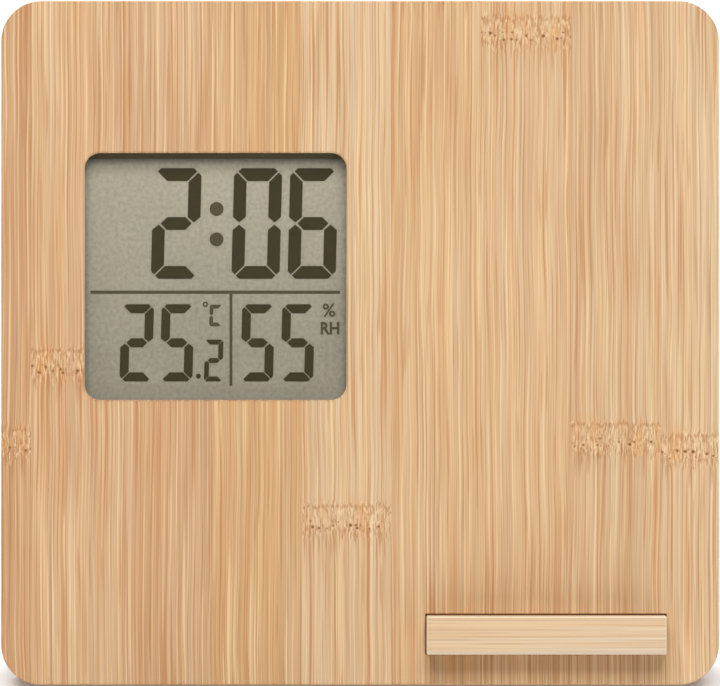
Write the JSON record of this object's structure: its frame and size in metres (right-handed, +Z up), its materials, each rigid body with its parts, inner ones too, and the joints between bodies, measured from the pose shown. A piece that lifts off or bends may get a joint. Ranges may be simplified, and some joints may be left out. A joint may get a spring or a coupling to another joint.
{
  "type": "home weather station",
  "caption": "Bamboo desk panel with a thermometer, hygrometer and clock display, a pull-out phone ledge over a charging coil and a fold-out stand.",
  "frame": {"origin": "middle of the bounding box at table level, under the panel and its open stand leg", "axes": "+X to the right as the display is read, +Y towards the back where the stand leg opens, +Z up; the panel leans back 20 degrees"},
  "size_m": [0.16, 0.1, 0.1465],
  "materials": {
    "bamboo": "satin oiled laminated bamboo, vertical strips",
    "ledge_bamboo": "satin oiled bamboo, grain along the bar",
    "cover_plastic": "fine spark-textured ABS",
    "frame_plastic": "moulded ABS",
    "black_plastic": "moulded plastic",
    "black_epoxy": "cured epoxy",
    "clear_acrylic": "clear polished acrylic",
    "lcd_glass": "thin glass with polariser",
    "lcd_film": "grey-green reflective polariser",
    "rubber": "matt anti-slip rubber",
    "button_rubber": "matt silicone",
    "elastomer": "striped conductive elastomer",
    "circuit_board": "green solder mask",
    "steel": "zinc-plated",
    "nickel": "nickel-plated",
    "copper_wire": "enamelled copper wire",
    "ferrite": "matt sintered ferrite",
    "battery_sleeve": "printed shrink sleeve, plain bands",
    "red_insulation": "PVC insulation",
    "black_insulation": "PVC insulation",
    "grey_insulation": "PVC insulation"
  },
  "bodies": {
    "station": {"bamboo_panel": "bamboo", "base_pad_left": "rubber", "base_pad_right": "rubber", "display_lens": "clear_acrylic", "lcd_front_glass": "lcd_glass", "lcd_rear_glass": "lcd_glass", "lcd_reflector": "lcd_film", "lcd_frame": "frame_plastic", "zebra_connector": "elastomer", "main_pcb": "circuit_board", "board_screw_1": "steel", "board_screw_2": "steel", "board_screw_3": "steel", "board_screw_4": "steel", "controller_chip": "black_epoxy", "clock_crystal": "steel", "buzzer": "black_plastic", "switch_set": "black_plastic", "switch_up": "black_plastic", "switch_down": "black_plastic", "switch_unit": "black_plastic", "sensor_board": "circuit_board", "humidity_sensor": "black_epoxy", "rear_cover": "cover_plastic", "cover_screw_1": "steel", "cover_screw_2": "steel", "cover_screw_3": "steel", "cover_screw_4": "steel", "hinge_pin": "steel", "battery_tray": "cover_plastic", "battery_cell_1": "battery_sleeve", "battery_cell_2": "battery_sleeve", "battery_spring_1": "nickel", "battery_spring_2": "nickel", "contact_negative": "nickel", "contact_positive": "nickel", "contact_bridge": "nickel", "charging_coil": "copper_wire", "ferrite_sheet": "ferrite", "coil_carrier": "frame_plastic", "charger_pcb": "circuit_board", "power_inductor": "ferrite", "charger_controller": "black_epoxy", "usb_c_port": "nickel", "battery_lead_red": "red_insulation", "battery_lead_black": "black_insulation", "link_cable": "grey_insulation", "sensor_lead": "grey_insulation", "coil_lead": "copper_wire"},
    "stand": {"stand_leg": "cover_plastic", "stand_foot": "rubber"},
    "ledge": {"phone_ledge": "ledge_bamboo", "ledge_stop": "steel"},
    "door": {"battery_door": "cover_plastic"},
    "button_set_body": {"button_set": "button_rubber"},
    "button_up_body": {"button_up": "button_rubber"},
    "button_down_body": {"button_down": "button_rubber"},
    "button_unit_body": {"button_unit": "button_rubber"}
  },
  "joints": [
    {"name": "stand_hinge", "type": "hinge", "parent": "station", "child": "stand", "pos_m": [0, 0.01303, 0.09399], "axis": [1, 0, 0], "range_deg": [-40, 0]},
    {"name": "ledge_slide", "type": "slide", "parent": "station", "child": "ledge", "axis": [0, -0.9397, 0.342], "range_m": [-0.011, 0]},
    {"name": "battery_door_lift", "type": "slide", "parent": "station", "child": "door", "axis": [0, 0.9397, -0.342], "range_m": [0, 0.03]},
    {"name": "press_set", "type": "slide", "parent": "station", "child": "button_set_body", "axis": [0, 0.9397, -0.342], "range_m": [-0.001, 0], "stiffness_N_per_m": 400, "springref_m": 0.001},
    {"name": "press_up", "type": "slide", "parent": "station", "child": "button_up_body", "axis": [0, 0.9397, -0.342], "range_m": [-0.001, 0], "stiffness_N_per_m": 400, "springref_m": 0.001},
    {"name": "press_down", "type": "slide", "parent": "station", "child": "button_down_body", "axis": [0, 0.9397, -0.342], "range_m": [-0.001, 0], "stiffness_N_per_m": 400, "springref_m": 0.001},
    {"name": "press_unit", "type": "slide", "parent": "station", "child": "button_unit_body", "axis": [0, 0.9397, -0.342], "range_m": [-0.001, 0], "stiffness_N_per_m": 400, "springref_m": 0.001}
  ]
}
